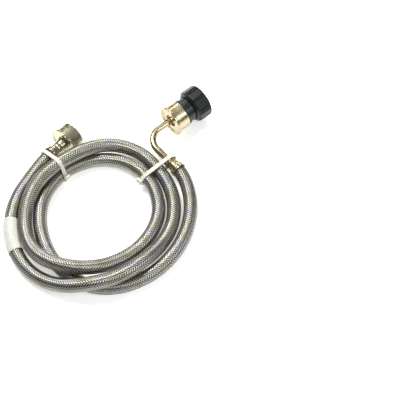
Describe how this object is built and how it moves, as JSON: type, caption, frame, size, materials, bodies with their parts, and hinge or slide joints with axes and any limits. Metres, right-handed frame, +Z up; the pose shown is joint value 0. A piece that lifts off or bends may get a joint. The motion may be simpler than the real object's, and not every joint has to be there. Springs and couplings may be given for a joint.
{
  "type": "braided supply line",
  "caption": "Coiled flexible water supply hose in a woven metal braid, with a loose nut at the plain end and a bent tube, loose nut and screw-on shut-off coupling at the other.",
  "frame": {"origin": "under the middle of the whole part, on the surface it lies on", "axes": "+Z up, coil lying flat; +Y away from the picture's viewer, +X to the right; both ends point toward +X and +Y"},
  "size_m": [0.2155, 0.2444, 0.0366],
  "materials": {
    "braid": "woven stainless wire",
    "liner": "matt rubber",
    "bright_metal": "warm nickel",
    "brass_part": "turned brass",
    "grey_plastic": "moulded",
    "black_plastic": "moulded",
    "white_plastic": "moulded",
    "seal": "soft",
    "steel": "wire and sheet",
    "tie": "natural nylon",
    "label": "coated paper"
  },
  "bodies": {
    "hose": {"hose_liner": "liner", "hose_braid": "braid", "straight_ferrule": "bright_metal", "straight_tailpiece": "brass_part", "straight_washer": "seal", "elbow_ferrule": "bright_metal", "elbow_tube": "bright_metal", "elbow_washer": "seal", "cable_tie_1": "tie", "cable_tie_2": "tie", "hose_label": "label"},
    "straight_nut": {"straight_nut": "bright_metal"},
    "elbow_nut": {"elbow_nut": "bright_metal"},
    "shutoff": {"shutoff_body": "grey_plastic", "swivel_sleeve": "brass_part", "guide_cage": "white_plastic", "poppet_spring": "steel", "coupling_washer": "seal", "inlet_screen": "steel"},
    "poppet": {"poppet": "white_plastic", "poppet_seal": "seal"},
    "coupling_nut": {"coupling_nut": "black_plastic"}
  },
  "joints": [
    {"name": "straight_nut_spin", "type": "hinge", "parent": "hose", "child": "straight_nut", "pos_m": [-0.04562, 0.06045, 0.0165], "axis": [0.6269, 0.7742, -0.0872], "continuous": true},
    {"name": "elbow_nut_turn", "type": "hinge", "parent": "hose", "child": "elbow_nut", "pos_m": [0.06905, 0.08602, 0.0189], "axis": [-0.7638, -0.6455, 0], "range_deg": [0, 1440]},
    {"name": "shutoff_slide", "type": "slide", "parent": "hose", "child": "shutoff", "axis": [0.7638, 0.6455, 0], "range_m": [0, 0.00884]},
    {"name": "coupling_nut_spin", "type": "hinge", "parent": "shutoff", "child": "coupling_nut", "pos_m": [0.09288, 0.10615, 0.0189], "axis": [0.7638, 0.6455, 0], "continuous": true},
    {"name": "poppet_slide", "type": "slide", "parent": "shutoff", "child": "poppet", "axis": [-0.7638, -0.6455, 0], "range_m": [0, 0.0047], "stiffness_N_per_m": 120, "springref_m": -0.004, "deforming": ["poppet_spring"]}
  ],
  "couplings": [
    {"joint": "shutoff_slide", "follows": "elbow_nut_turn", "m_per_rad": 0.00035153}
  ]
}
